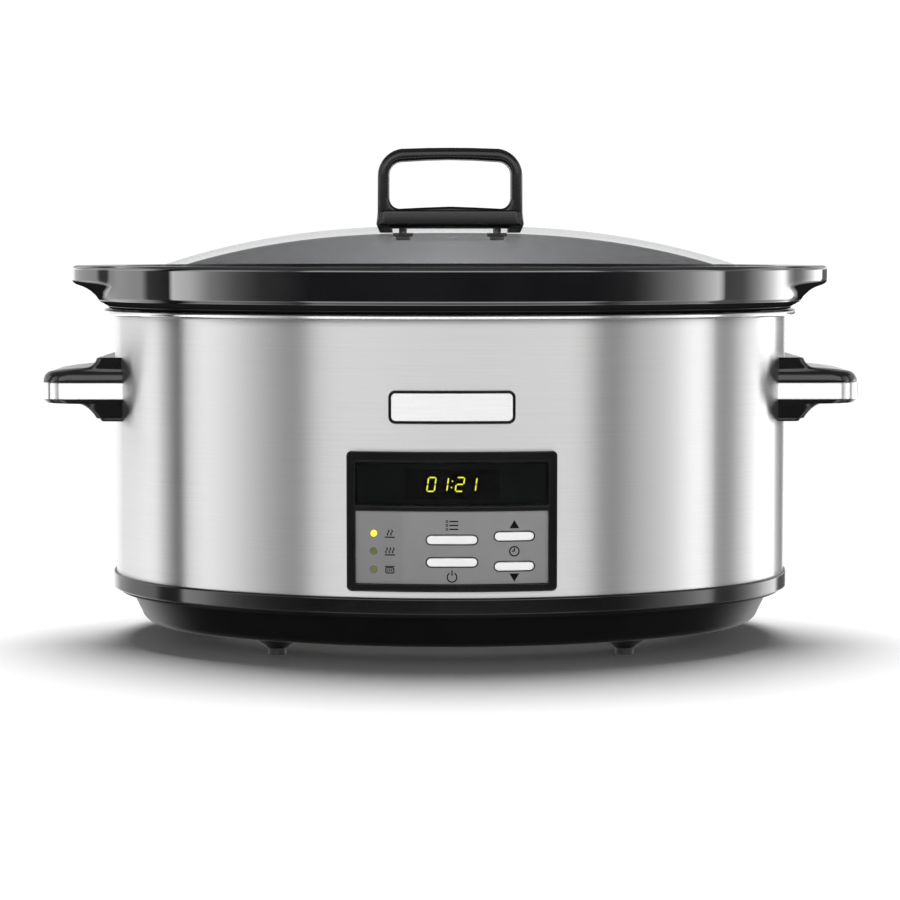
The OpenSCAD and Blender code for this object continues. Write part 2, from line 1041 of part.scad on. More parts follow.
module crock_section() {
    top_round = 2.5;
    inner_round = 2;
    foot_round = 14;
    bowl_round = 16;
    floor_z = crock_bottom + crock_floor_t;
    polygon(concat(
        [[-slab_in - 5, crock_bottom]],
        arc(-crock_base_out - foot_round, crock_bottom + foot_round, foot_round, -90, 0, 6),
        [[-crock_wall_out, 174], [-crock_wall_out + 0.8, 178.5], [-16, crock_seat]],
        [[3, crock_seat], [3, 184.2], [rim_out - 1.6, 184.2], [rim_out - 0.5, 185.2]],
        [[rim_out - 0.5, 187], [rim_out, 187.5]],
        arc(rim_out - top_round, rim_z - top_round, top_round, 0, 90, 5),
        arc(-4, rim_z - inner_round, inner_round, 90, 180, 4),
        [[-6.6, ledge_z], [-15.5, ledge_z], [-17.5, ledge_z - 1.5], [-crock_wall_in, 180]],
        arc(-crock_base_in - bowl_round, floor_z + bowl_round, bowl_round, 0, -90, 7),
        [[-slab_in - 5, floor_z]]
    ));
}

module crock_lug() {
    nose = 2.5;
    difference() {
        translate([lug_reach - lug_r, 0, 0])
            rotate_extrude($fn = arc_fn)
                polygon(concat(
                    [[30, 186.5], [lug_r - 14.2, 186.5], [lug_r - 13, 189], [lug_r - 11, 191]],
                    [[lug_r - 7, 193.2]],
                    arc(lug_r - nose, 197.5, nose, -90, 0, 3),
                    arc(lug_r - nose, rim_z - nose, nose, 0, 90, 4),
                    [[30, rim_z]]
                ));
        translate([end_c, 0, 150])
            cylinder(r = end_r + 3, h = 100, $fn = arc_fn);
    }
}

module crock() {
    color("#101012") {
        sweep_oval()
            crock_section();
        oval_slab(slab_in, crock_bottom, crock_floor_t);
        crock_lug();
        mirror([1, 0, 0])
            crock_lug();
    }
}

// ---- Lid ----

// The dome falls from its flat middle to its edge along a power curve
function dome_point(i) =
    let (share = i / dome_steps)
        [-dome_flat_in + (dome_flat_in - dome_in) * share, dome_z - dome_drop * pow(share, dome_power)];

// A disc under one long side of the dome's flat middle
module dome_side(side) {
    translate([0, side * long_c, dome_z - glass_t])
        cylinder(r = long_r - dome_flat_in - 1, h = glass_t, $fn = arc_fn);
}

module lid_glass() {
    seat = ledge_z + rest_gap;
    edge_round = 1.5;
    outer = [for (i = [0:dome_steps]) dome_point(i)];
    inner = [for (p = outer) [p[0], p[1] - glass_t]];
    color("lightblue", 0.5) difference() {
        union() {
            sweep_oval()
                polygon(concat(
                    [[-dome_hole_in, dome_z]], outer,
                    [[-dome_in + 4, seat + glass_t]],
                    [[-lid_in - edge_round, seat + glass_t], [-lid_in, seat + glass_t - edge_round]],
                    [[-lid_in, seat + edge_round], [-lid_in - edge_round, seat]],
                    [[-dome_in + 3, seat]], reversed(inner), [[-dome_hole_in, dome_z - glass_t]]
                ));
            intersection() {
                dome_side(1);
                dome_side(-1);
                translate([-dome_hole_x, -long_c, dome_z - glass_t])
                    cube([2 * dome_hole_x, 2 * long_c, glass_t]);
            }
        }
        for (x = [-1, 1])
            translate([x * lid_screw_x, 0, dome_z - 10])
                cylinder(r = 2.2, h = 20);
    }
}

module lid_handle() {
    foot = lid_handle_w / 2;
    top = lid_handle_top;
    corner = 15;
    side_x = foot - 0.7;
    right = concat(
        [[foot - 1.5, dome_z], [foot, dome_z + 1.5], [foot - 0.5, dome_z + 5]],
        arc(side_x - corner, top - corner - 0.6, corner, 0, 84, 8)
    );
    color("#141414") difference() {
        translate([0, lid_handle_d / 2, 0])
            rotate([90, 0, 0])
                linear_extrude(lid_handle_d)
                    difference() {
                        polygon(concat(right, [[0, top]], reversed([for (p = right) [-p[0], p[1]]])));
                        translate([0, grip_hole_z])
                            rounded_rect(grip_hole_w, grip_hole_h, 7);
                    }
        for (x = [-1, 1])
            translate([x * lid_screw_x, 0, dome_z - 1])
                cylinder(r = 2.2, h = 9);
    }
}

module lid_handle_washers() {
    color("#181818") for (x = [-1, 1])
        translate([x * lid_screw_x, 0, dome_z - glass_t - 2])
            difference() {
                cylinder(r = 5.5, h = 2);
                translate([0, 0, -1])
                    cylinder(r = 2.2, h = 4);
            }
}

module lid_handle_screws() {
    color("gainsboro") for (x = [-1, 1])
        translate([x * lid_screw_x, 0, dome_z - glass_t - 2])
            screw_up(4, 2, 2.2, 13.5);
}

outer_wrap();
heating_well();
heater_band();
heater_clamp();
insulation_blanket();
base_ring();
base_pan();
rubber_feet();
bottom_plate();
base_screws();
tie_bolt();
tie_nut();
heat_shield();
shield_screws();
board_bracket();
power_board();
board_screws();
relay();
transformer();
filter_capacitor();
terminal_block();
heater_leads();
board_leads();
thermal_fuse();
temperature_sensor();
cord_gland();
gland_nut();
panel_bezel();
display_lens();
fascia_plate();
display_module();
display_digits();
low_led();
high_led();
warm_led();
control_board();
panel_screws();
tact_switches();
ribbon_cable();
badge_plate();
left_handle();
right_handle();
left_handle_trim();
right_handle_trim();
handle_brackets();
handle_screws();
crock();
lid_glass();
lid_handle();
lid_handle_washers();
lid_handle_screws();
menu_button();
power_button();
up_button();
down_button();
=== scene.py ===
"""A slow cooker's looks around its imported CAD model, in metres in the CAD frame."""

import json
import math

import bmesh
import bpy
from mathutils import Matrix, Vector


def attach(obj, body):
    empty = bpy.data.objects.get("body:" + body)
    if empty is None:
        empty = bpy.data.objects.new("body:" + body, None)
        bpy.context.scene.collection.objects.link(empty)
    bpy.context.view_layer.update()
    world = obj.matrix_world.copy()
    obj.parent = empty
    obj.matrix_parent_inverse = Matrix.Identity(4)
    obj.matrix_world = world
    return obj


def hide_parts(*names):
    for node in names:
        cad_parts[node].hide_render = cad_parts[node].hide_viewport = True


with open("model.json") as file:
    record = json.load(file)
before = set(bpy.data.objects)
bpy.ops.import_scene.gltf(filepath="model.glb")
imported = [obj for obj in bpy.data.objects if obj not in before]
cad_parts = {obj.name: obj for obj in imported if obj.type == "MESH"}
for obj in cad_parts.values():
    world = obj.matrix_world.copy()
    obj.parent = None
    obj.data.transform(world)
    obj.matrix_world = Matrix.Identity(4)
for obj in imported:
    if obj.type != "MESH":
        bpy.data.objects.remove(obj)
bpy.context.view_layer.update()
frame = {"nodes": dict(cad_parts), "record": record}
MM = 0.001

# The plan oval of the steel wrap's face, in mm: two end arcs and two long arcs
END_C, END_R = 63.0, 122.0
LONG_C, LONG_R = 84.0, 227.0
JOIN = math.degrees(math.atan2(4, 3))
ARC_STEPS = 56


# ---- Camera ----

CAMERA_PLACE = (-0.011, -1.54, 0.216)
LOOK_DOWN, LOOK_RIGHT = 4.22, 0.41
LENS_MM = 111

def make_camera():
    data = bpy.data.cameras.new("camera")
    camera = bpy.data.objects.new("camera", data)
    bpy.context.scene.collection.objects.link(camera)
    data.lens = LENS_MM
    data.sensor_width = 36
    data.clip_end = 60
    camera.location = CAMERA_PLACE
    camera.rotation_euler = (math.radians(90 - LOOK_DOWN), 0, math.radians(-LOOK_RIGHT))
    bpy.context.scene.camera = camera


make_camera()


# ---- Shape helpers ----

def oval_directions():
    """(centre x, centre y, radius, angle) of each section round the oval, anticlockwise."""
    arcs = [
        (END_C, 0, END_R, -JOIN, JOIN), (0, -LONG_C, LONG_R, JOIN, 180 - JOIN),
        (-END_C, 0, END_R, 180 - JOIN, 180 + JOIN), (0, LONG_C, LONG_R, 180 + JOIN, 360 - JOIN),
    ]
    found = []
    for x, y, r, start, end in arcs:
        for i in range(ARC_STEPS):
            found.append((x, y, r, math.radians(start + (end - start) * i / ARC_STEPS)))
    return found


OVAL = oval_directions()


def oval_ring(offset, z, grow=None):
    """A ring of points at an offset in mm from the wrap's face; grow adds more by direction."""
    ring = []
    for x, y, r, a in OVAL:
        reach = r + offset + (grow(x, a) if grow else 0)
        ring.append((x + reach * math.cos(a), y + reach * math.sin(a), z))
    return ring


def scaled_ring(offset, share, z):
    return [(x * share, y * share, z) for x, y, _ in oval_ring(offset, z)]


def arc(cx, cz, r, start, end, steps):
    angles = [math.radians(start + (end - start) * i / steps) for i in range(steps + 1)]
    return [(cx + r * math.cos(a), cz + r * math.sin(a)) for a in angles]


def rounded(corners, steps=5):
    """Rounds a closed outline whose corners are (x, y, radius), and returns its points."""
    points = []
    count = len(corners)
    for i, (x, y, r) in enumerate(corners):
        here = Vector((x, y))
        if r <= 0:
            points.append((x, y))
            continue
        before = (Vector(corners[i - 1][:2]) - here).normalized()
        after = (Vector(corners[(i + 1) % count][:2]) - here).normalized()
        half = before.angle(after) / 2
        start = here + before * (r / math.tan(half))
        end = here + after * (r / math.tan(half))
        centre = here + (before + after).normalized() * (r / math.sin(half))
        a0, a1 = (start - centre), (end - centre)
        turn = a0.angle_signed(a1)
        for k in range(steps + 1):
            v = a0.copy()
            v.rotate(Matrix.Rotation(-turn * k / steps, 2))
            points.append(tuple(centre + v))
    return points


def new_piece(name, bm, body, slot, nodes=(), sharp=32):
    """Makes an object from a mesh in mm: smooth faces, sharp edges past an angle."""
    bmesh.ops.remove_doubles(bm, verts=bm.verts, dist=0.001)
    bmesh.ops.dissolve_degenerate(bm, edges=bm.edges, dist=0.0005)
    bmesh.ops.recalc_face_normals(bm, faces=bm.faces)
    for v in bm.verts:
        v.co *= MM
    for f in bm.faces:
        f.smooth = True
    for e in bm.edges:
        e.smooth = len(e.link_faces) == 2 and e.calc_face_angle(0) < math.radians(sharp)
    mesh = bpy.data.meshes.new(name)
    bm.to_mesh(mesh)
    bm.free()
    piece = bpy.data.objects.new(name, mesh)
    bpy.context.scene.collection.objects.link(piece)
    normals = piece.modifiers.new("normals", "WEIGHTED_NORMAL")
    normals.keep_sharp = True
    normals.weight = 50
    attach(piece, body)
    if nodes:
        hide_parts(*nodes)
    piece.data.materials.append(MATERIALS[slot])
    return piece


def loft(bm, rings, closed=False, cap=True):
    """Faces between rings of equal length; closed joins the last ring to the first."""
    made = [[bm.verts.new(p) for p in ring] for ring in rings]
    pairs = list(zip(made, made[1:]))
    if closed:
        pairs.append((made[-1], made[0]))
    for low, high in pairs:
        for i in range(len(low)):
            j = (i + 1) % len(low)
            bm.faces.new((low[i], low[j], high[j], high[i]))
    if cap and not closed:
        bm.faces.new(made[0])
        bm.faces.new(made[-1])
    return made


# ---- Materials ----

EVEN = (1, 1, 1)
COLOUR_A, COLOUR_B = 6, 7  # the colour sockets of a Mix node


def node(tree, kind, inputs=(), **settings):
    made = tree.nodes.new("ShaderNode" + kind)
    for name, value in settings.items():
        setattr(made, name, value)
    for socket, value in inputs:
        if isinstance(value, bpy.types.NodeSocket):
            tree.links.new(value, made.inputs[socket])
        else:
            made.inputs[socket].default_value = value
    return made


def grain(tree, stretch, scale, detail=4.0, roughness=0.6):
    """Noise in the object's own space, stretched along each axis."""
    place = node(tree, "TexCoord").outputs["Object"]
    mapped = node(tree, "Mapping", [("Vector", place), ("Scale", stretch)]).outputs["Vector"]
    noise = node(tree, "TexNoise", [
        ("Vector", mapped), ("Scale", scale), ("Detail", detail), ("Roughness", roughness),
    ])
    return noise.outputs["Fac"]


def spread(tree, value, low, high, near=0.3, far=0.7):
    return node(tree, "MapRange", [
        ("Value", value), ("From Min", near), ("From Max", far), ("To Min", low), ("To Max", high),
    ]).outputs["Result"]


def blend_colours(tree, share, first, second):
    mix = node(tree, "Mix", [("Factor", share)], data_type="RGBA")
    for socket, value in ((COLOUR_A, first), (COLOUR_B, second)):
        if isinstance(value, bpy.types.NodeSocket):
            tree.links.new(value, mix.inputs[socket])
        else:
            mix.inputs[socket].default_value = (*value, 1)
    return mix.outputs[2]


def principled(name, fixed):
    """A material with one Principled shader, whose uniform values are set on its sockets."""
    material = bpy.data.materials.new(name)
    material.use_nodes = True
    tree = material.node_tree
    shader = tree.nodes["Principled BSDF"]
    for socket, value in fixed.items():
        shader.inputs[socket].default_value = value
    return material, tree, shader


def bump(tree, shader, height, strength, distance):
    made = node(tree, "Bump", [("Height", height), ("Strength", strength), ("Distance", distance)])
    tree.links.new(made.outputs["Normal"], shader.inputs["Normal"])


def surface(slot, colour, rough, vary=0.12, rough_vary=0.12, fine=900, stretch=EVEN,
            bumps=0.15, depth=0.00006, **fixed):
    """Moulded or painted surface: mottled colour, uneven gloss and a fine moulded texture."""
    material, tree, shader = principled(slot, {k.replace("_", " "): v for k, v in fixed.items()})
    broad = grain(tree, EVEN, 22, 3)
    small = grain(tree, stretch, fine)
    dark = tuple(c * (1 - vary) for c in colour)
    light = tuple(min(1, c * (1 + vary) + 0.002) for c in colour)
    base = blend_colours(tree, spread(tree, broad, 0, 1), dark, light)
    tree.links.new(base, shader.inputs["Base Color"])
    both = node(tree, "Math", [(0, broad), (1, small)], operation="ADD").outputs[0]
    gloss = spread(tree, both, rough * (1 - rough_vary), rough * (1 + rough_vary), 0.7, 1.3)
    tree.links.new(gloss, shader.inputs["Roughness"])
    bump(tree, shader, small, bumps, depth)
    return material


def steel(slot, colour, rough, lines, strength=0.2, streaks=0.06):
    """Brushed metal: fine lines along the brushing, and reflections drawn out across them."""
    quarter_turn = 0.25
    material, tree, shader = principled(slot, {
        "Metallic": 1.0, "Anisotropic": 1.0, "Anisotropic Rotation": quarter_turn,
    })
    fine = grain(tree, lines, 1, 3, 0.75)
    hair = grain(tree, tuple(v * 3 for v in lines), 1, 2, 0.8)
    dark = tuple(c * (1 - streaks) for c in colour)
    light = tuple(min(1, c * (1 + streaks)) for c in colour)
    tone = node(tree, "Math", [(0, fine), (1, hair)], operation="ADD").outputs[0]
    base = blend_colours(tree, spread(tree, tone, 0, 1, 0.75, 1.25), dark, light)
    tree.links.new(base, shader.inputs["Base Color"])
    tree.links.new(spread(tree, hair, rough * 0.9, rough * 1.1), shader.inputs["Roughness"])
    tangent = node(tree, "Tangent", direction_type="RADIAL", axis="Z")
    tree.links.new(tangent.outputs[0], shader.inputs["Tangent"])
    bump(tree, shader, tone, strength, 0.00001)
    return material


def glowing(slot, colour, rough, glow):
    """A lens of moulded plastic that gives its own light, a little uneven across it: real light
    where the lamp is lit, painted light where it is off.
    """
    material = surface(slot, colour, rough, Emission_Strength=glow, Coat_Weight=0.4)
    tree = material.node_tree
    uneven = grain(tree, EVEN, 700, 2)
    dim = tuple(c * 0.75 for c in colour)
    tint = blend_colours(tree, spread(tree, uneven, 0, 1), dim, colour)
    tree.links.new(tint, tree.nodes["Principled BSDF"].inputs["Emission Color"])
    return material


SOLID_EDGE = (0.97, 0.975, 0.975)
# Painted shade: see-through tints of the dome's underside, darker towards its ends, for the shade
# inside the pot.
PAINTED_SHADE_MIDDLE, PAINTED_SHADE_ENDS = (0.6, 0.6, 0.61), (0.37, 0.37, 0.38)
PAINTED_SHADE_REACH = 0.15


def clear_glass(slot):
    """Clear glass that reads darker through the hollow of the dome than in its solid edge: the
    underside's see-through tint is painted shade of the pot's inside, darker towards the dome's
    ends.
    """
    material, tree, shader = principled(slot, {"Metallic": 1.0, "Base Color": (1, 1, 1, 1)})
    inside = node(tree, "Attribute", attribute_name="inside").outputs["Fac"]
    place = node(tree, "TexCoord").outputs["Object"]
    along = node(tree, "SeparateXYZ", [("Vector", place)]).outputs["X"]
    away = node(tree, "Math", [(0, along)], operation="ABSOLUTE").outputs[0]
    cloud = grain(tree, EVEN, 6, 2)
    depth = node(tree, "Math", [(0, away), (1, spread(tree, cloud, -0.006, 0.006))],
                 operation="ADD").outputs[0]
    # Painted shade across the hollow, darker away from the middle.
    hollow = blend_colours(tree, spread(tree, depth, 0, 1, 0.0, PAINTED_SHADE_REACH),
                           PAINTED_SHADE_MIDDLE, PAINTED_SHADE_ENDS)
    tint = blend_colours(tree, inside, SOLID_EDGE, hollow)
    tree.links.new(spread(tree, cloud, 0.01, 0.03), shader.inputs["Roughness"])
    through = node(tree, "BsdfTransparent", [("Color", tint)])
    facing = node(tree, "LayerWeight", [("Blend", 0.5)]).outputs["Facing"]
    rim = node(tree, "Math", [(0, facing), (1, 5.0)], operation="POWER").outputs[0]
    mirror = spread(tree, rim, 0.035, 0.3, 0, 1)
    both = node(tree, "MixShader", [("Fac", mirror), (1, through.outputs[0]),
                                    (2, shader.outputs[0])])
    tree.links.new(both.outputs[0], tree.nodes["Material Output"].inputs["Surface"])
    return material


def glaze(slot):
    """Glossy black glaze that gives way to dull dark clay wherever the pot faces down: painted
    shade that keeps every downward face, the undersides of the rim and lugs among them, dark and
    without reflection.
    """
    glass = 1.62
    material = surface(slot, (0.003, 0.003, 0.004), 0.05, 0.3, 0.5, 60, bumps=0.02, depth=0.0003,
                       IOR=glass, Coat_Weight=1.0, Coat_Roughness=0.02, Coat_IOR=glass)
    tree = material.node_tree
    # Painted shade: faces turned down lose the glaze's reflection and go dark.
    normal = node(tree, "NewGeometry").outputs["Normal"]
    facing = node(tree, "SeparateXYZ", [("Vector", normal)]).outputs["Z"]
    painted_under_shade = spread(tree, facing, 1, 0, -0.45, -0.2)
    dull_under_shade = node(tree, "BsdfDiffuse", [("Color", (0.012, 0.011, 0.011, 1))])
    both = node(tree, "MixShader", [("Fac", painted_under_shade), (1, tree.nodes["Principled BSDF"].outputs[0]),
                                    (2, dull_under_shade.outputs[0])])
    tree.links.new(both.outputs[0], tree.nodes["Material Output"].inputs["Surface"])
    return material


def build_materials():
    return {
        "brushed_steel": steel("brushed_steel", (0.62, 0.615, 0.615), 0.35, (9, 9, 3600)),
        "well_steel": steel("well_steel", (0.72, 0.72, 0.73), 0.2, (30, 30, 900)),
        "plated_steel": surface("plated_steel", (0.24, 0.24, 0.235), 0.42, 0.1, 0.2, 400,
                                Metallic=1.0),
        "gloss_black": surface("gloss_black", (0.005, 0.005, 0.0055), 0.14, bumps=0.06,
                               Specular_IOR_Level=0.4, Coat_Weight=0.3, Coat_Roughness=0.06),
        "satin_black": surface("satin_black", (0.006, 0.006, 0.0065), 0.18, bumps=0.08,
                               Specular_IOR_Level=0.4),
        "pan_black": surface("pan_black", (0.004, 0.004, 0.0042), 0.34, bumps=0.2,
                             Specular_IOR_Level=0.08),
        "rubber_black": surface("rubber_black", (0.016, 0.016, 0.016), 0.6, bumps=0.4),
        "black_glaze": glaze("black_glaze"),
        "lid_glass": clear_glass("lid_glass"),
        "chrome": steel("chrome", (0.9, 0.9, 0.905), 0.3, (9, 9, 1800), strength=0.05,
                        streaks=0.02),
        "tinted_lens": surface("tinted_lens", (0.12, 0.12, 0.13), 0.03, bumps=0.01,
                               Transmission_Weight=1.0, IOR=1.45),
        "fascia_grey": surface("fascia_grey", (0.33, 0.325, 0.33), 0.42, 0.03, fine=2500,
                               bumps=0.1),
        "button_silver": steel("button_silver", (0.88, 0.88, 0.875), 0.36, (15, 15, 2500),
                               strength=0.05, streaks=0.02),
        "badge_silver": steel("badge_silver", (0.78, 0.775, 0.775), 0.3, (20, 20, 3000)),
        "display_black": surface("display_black", (0.004, 0.004, 0.004), 0.5,
                                 Specular_IOR_Level=0.06),
        "digits_lit": glowing("digits_lit", (0.72, 0.74, 0.04), 0.3, 12.0),
        "led_yellow": glowing("led_yellow", (1.0, 0.84, 0.06), 0.3, 1.1),
        # The green and amber lamps are off: their weak glow is painted light.
        "led_green": glowing("led_green", (0.1, 0.12, 0.03), 0.3, 0.5),
        "led_amber": glowing("led_amber", (0.14, 0.13, 0.03), 0.3, 0.5),
        "board_green": surface("board_green", (0.02, 0.14, 0.05), 0.4, 0.25, Coat_Weight=0.3),
        "part_black": surface("part_black", (0.02, 0.02, 0.02), 0.45),
        "part_blue": surface("part_blue", (0.03, 0.09, 0.3), 0.35),
        "part_yellow": surface("part_yellow", (0.75, 0.55, 0.06), 0.35),
        "terminal_ivory": surface("terminal_ivory", (0.74, 0.68, 0.52), 0.4),
        "heater_mica": surface("heater_mica", (0.34, 0.24, 0.14), 0.5, 0.35, stretch=(1, 1, 6)),
        "blanket_white": surface("blanket_white", (0.75, 0.74, 0.7), 0.9, 0.12, bumps=0.8,
                                 depth=0.0006, Sheen_Weight=0.3),
        "lead_white": surface("lead_white", (0.8, 0.79, 0.76), 0.45),
        "lead_red": surface("lead_red", (0.55, 0.03, 0.03), 0.42),
        "cable_grey": surface("cable_grey", (0.45, 0.45, 0.45), 0.45, stretch=(60, 1, 1)),
        "fuse_ceramic": surface("fuse_ceramic", (0.7, 0.6, 0.45), 0.5, bumps=0.4),
    }


MATERIALS = build_materials()

for part in frame["record"]["subparts"]:
    shape = frame["nodes"][part["node"]]
    shape.data.materials.clear()
    shape.data.materials.append(MATERIALS[part["material_slot"]])


# ---- Studio ----

def make_floor():
    bm = bmesh.new()
    bmesh.ops.create_grid(bm, x_segments=8, y_segments=8, size=12)
    mesh = bpy.data.meshes.new("floor")
    bm.to_mesh(mesh)
    bm.free()
    floor = bpy.data.objects.new("floor", mesh)
    bpy.context.scene.collection.objects.link(floor)
    material, tree, shader = principled("floor_white", {"Specular IOR Level": 0.001})
    tone = grain(tree, EVEN, 3, 2)
    tree.links.new(blend_colours(tree, tone, (0.9, 0.9, 0.9), (0.92, 0.92, 0.92)),
                   shader.inputs["Base Color"])
    tree.links.new(spread(tree, tone, 0.16, 0.22), shader.inputs["Roughness"])
    mesh.materials.append(material)
    floor.visible_glossy = False


# The studio round the object: (degrees from the front, + to the right; brightness).
# Level bands are what upright gloss shows; the tall bands above and below tone the steel.
LEVEL_BANDS = [
    (-180, 0.35), (-174, 0.35), (-168, 1.5), (-151, 1.3), (-146, 0.9), (-134, 0.9),
    (-124, 1.0), (-104, 1.3), (-99, 0.2), (-84, 0.1), (-82, 3.8), (-74, 3.0), (-68, 1.4),
    (-60, 0.6), (-52, 0.2), (-38, 0.05), (40, 0.05), (50, 0.12), (55, 0.4),
    (60, 0.9), (67, 1.6), (78, 4.2), (80, 0.35), (92, 0.4), (104, 1.4), (122, 3.6), (136, 3.6),
    (141, 0.2), (160, 0.2), (163, 1.6), (168, 1.6), (174, 0.35),
]
TALL_BANDS = [
    (-180, 0.47), (-165, 0.68), (-153, 2.16), (-118, 2.1), (-102, 1.55), (-91, 0.07), (-83, 0.0),
    (-80, 0.81), (-76, 1.82), (-66, 1.89), (-61, 1.55), (-51, 1.01), (-43, 0.41), (-39.5, 2.29),
    (-28, 2.36), (0, 2.27), (28, 2.27), (39, 2.43), (42.5, 1.08), (46, 0.34), (54.5, 1.28),
    (67.6, 1.45), (78, 2.5), (80.5, 0.74), (84, 0.68), (95.7, 0.54), (108, 1.35), (131, 1.89),
    (153, 1.89), (165, 0.68), (180, 0.47),
]
BAND_TOP = 5.0
BACK_SHADE, STEEP_SHADE = 0.42, 0.15
FLOOR_FILL, PLAIN_WHITE = 0.1, 1.05


def band_ramp(tree, share, bands):
    ramp = node(tree, "ValToRGB", [("Fac", share)])
    stops = ramp.color_ramp.elements
    for i, (degrees, light) in enumerate(bands):
        at = (degrees + 180) / 360
        stop = stops[i] if i < 2 else stops.new(at)
        stop.position = at
        stop.color = (light / BAND_TOP,) * 3 + (1,)
    return ramp.outputs["Color"]


def make_world():
    world = bpy.data.worlds.new("studio")
    bpy.context.scene.world = world
    world.use_nodes = True
    tree = world.node_tree
    tree.nodes.clear()
    way = node(tree, "TexCoord").outputs["Generated"]
    split = node(tree, "SeparateXYZ", [("Vector", way)])
    behind = node(tree, "Math", [(0, split.outputs["Y"]), (1, -1.0)], operation="MULTIPLY")
    turn = node(tree, "Math", [(0, split.outputs["X"]), (1, behind.outputs[0])],
                operation="ARCTAN2").outputs[0]
    share = spread(tree, turn, 0, 1, -math.pi, math.pi)
    rising = spread(tree, split.outputs["Z"], 0, 1, -0.22, -0.17)
    falling = spread(tree, split.outputs["Z"], 1, 0, 0.05, 0.08)
    level = node(tree, "Math", [(0, rising), (1, falling)], operation="MULTIPLY").outputs[0]
    tall_light = band_ramp(tree, share, TALL_BANDS)
    light = blend_colours(tree, level, tall_light, band_ramp(tree, share, LEVEL_BANDS))
    back = spread(tree, split.outputs["Y"], 0, 1, 0.25, 0.55)
    above = spread(tree, split.outputs["Z"], 0, 1, 0.06, 0.16)
    shade = node(tree, "Math", [(0, back), (1, above)], operation="MULTIPLY").outputs[0]
    steep = node(tree, "Math", [(0, split.outputs["Z"])], operation="ABSOLUTE").outputs[0]
    dimmed = spread(tree, steep, 1, STEEP_SHADE, 0.42, 0.6)
    light = blend_colours(tree, spread(tree, steep, 0, 1, 0.55, 0.8), light, (0.3, 0.3, 0.3))
    strength = node(tree, "Math", [
        (0, spread(tree, shade, BAND_TOP, BAND_TOP * BACK_SHADE, 0, 1)), (1, dimmed),
    ], operation="MULTIPLY").outputs[0]
    path = node(tree, "LightPath")
    bands = node(tree, "Background", [("Color", light), ("Strength", strength)])
    fill = node(tree, "Background", [("Color", (1, 1, 1, 1)), ("Strength", FLOOR_FILL)])
    plain = node(tree, "Background", [("Color", (1, 1, 1, 1)), ("Strength", PLAIN_WHITE)])
    lit = node(tree, "MixShader", [
        ("Fac", path.outputs["Is Diffuse Ray"]), (1, bands.outputs[0]), (2, fill.outputs[0]),
    ])
    mixed = node(tree, "MixShader", [
        ("Fac", path.outputs["Is Camera Ray"]), (1, lit.outputs[0]), (2, plain.outputs[0]),
    ])
    out = node(tree, "OutputWorld")
    tree.links.new(mixed.outputs[0], out.inputs["Surface"])


SUN_STRENGTH, SUN_WIDTH, SUN_TILT = 3.8, 42, -19


def make_overhead():
    """A very wide soft light above and a little behind, for the floor and its shadow."""
    data = bpy.data.lights.new("overhead", "SUN")
    data.energy = SUN_STRENGTH
    data.angle = math.radians(SUN_WIDTH)
    lamp = bpy.data.objects.new("overhead", data)
    bpy.context.scene.collection.objects.link(lamp)
    lamp.rotation_euler = (math.radians(SUN_TILT), 0, 0)
    lamp.visible_glossy = False


make_floor()
make_world()
make_overhead()
bpy.context.scene.view_settings.view_transform = "Standard"


# ---- Outline helpers ----

def rounded_box(wide, high, r, x=0.0, z=0.0, steps=6):
    points = []
    for sx, sz, start in ((1, 1, 0), (-1, 1, 90), (-1, -1, 180), (1, -1, 270)):
        points += arc(x + sx * (wide / 2 - r), z + sz * (high / 2 - r), r, start, start + 90, steps)
    return points


def circle(x, z, r, steps=24):
    return arc(x, z, r, 0, 360, steps)[:-1]


def inset_loop(points, depth, weights=None):
    """Moves a closed anticlockwise outline inward by a depth, times each point's weight."""
    moved = []
    count = len(points)
    for i, (x, z) in enumerate(points):
        before, after = Vector(points[i - 1]), Vector(points[(i + 1) % count])
        here = Vector((x, z))
        a, b = (here - before).normalized(), (after - here).normalized()
        side = Vector((-a.y - b.y, a.x + b.x))
        if side.length < 1e-6:
            moved.append((x, z))
            continue
        side.normalize()
        scale = 1 / max(0.4, Vector((-a.y, a.x)).dot(side))
        moved.append(tuple(here + side * depth * scale * (weights[i] if weights else 1)))
    return moved


def edge_rings(points, low, high, top, bottom=0.0, inward=1, steps=4, weights=None):
    """Rings (points, height) of a wall whose top and bottom edges are rounded."""
    rings = []
    if bottom > 0:
        for k in range(steps + 1):
            t = math.radians(90 * k / steps)
            rings.append((inset_loop(points, inward * bottom * (1 - math.sin(t)), weights),
                          low + bottom * (1 - math.cos(t))))
    else:
        rings.append((points, low))
    if top > 0:
        for k in range(steps + 1):
            t = math.radians(90 * k / steps)
            rings.append((inset_loop(points, inward * top * (1 - math.cos(t)), weights),
                          high - top + top * math.sin(t)))
    else:
        rings.append((points, high))
    return rings


def plate(bm, outer, holes, low, high, top=0.3, hole_top=0.2, bottom=0.0, hole_bottom=0.0,
          weights=None):
    """A plate in X and Z whose thickness runs along local Y, with rounded edges."""
    ends = ([], [])
    walls = [(outer, top, bottom, 1)] + [(h, hole_top, hole_bottom, -1) for h in holes]
    for points, above, below, inward in walls:
        share = weights if points is outer else None
        rings = edge_rings(points, low, high, above, below, inward, weights=share)
        made = loft(bm, [[(x, h, z) for x, z in ring] for ring, h in rings], cap=False)
        for end, ring in zip(ends, (made[0], made[-1])):
            for i, v in enumerate(ring):
                end.append(bm.edges.get((v, ring[(i + 1) % len(ring)])))
    for end in ends:
        bmesh.ops.triangle_fill(bm, use_beauty=True, use_dissolve=False, edges=end)
    return bm


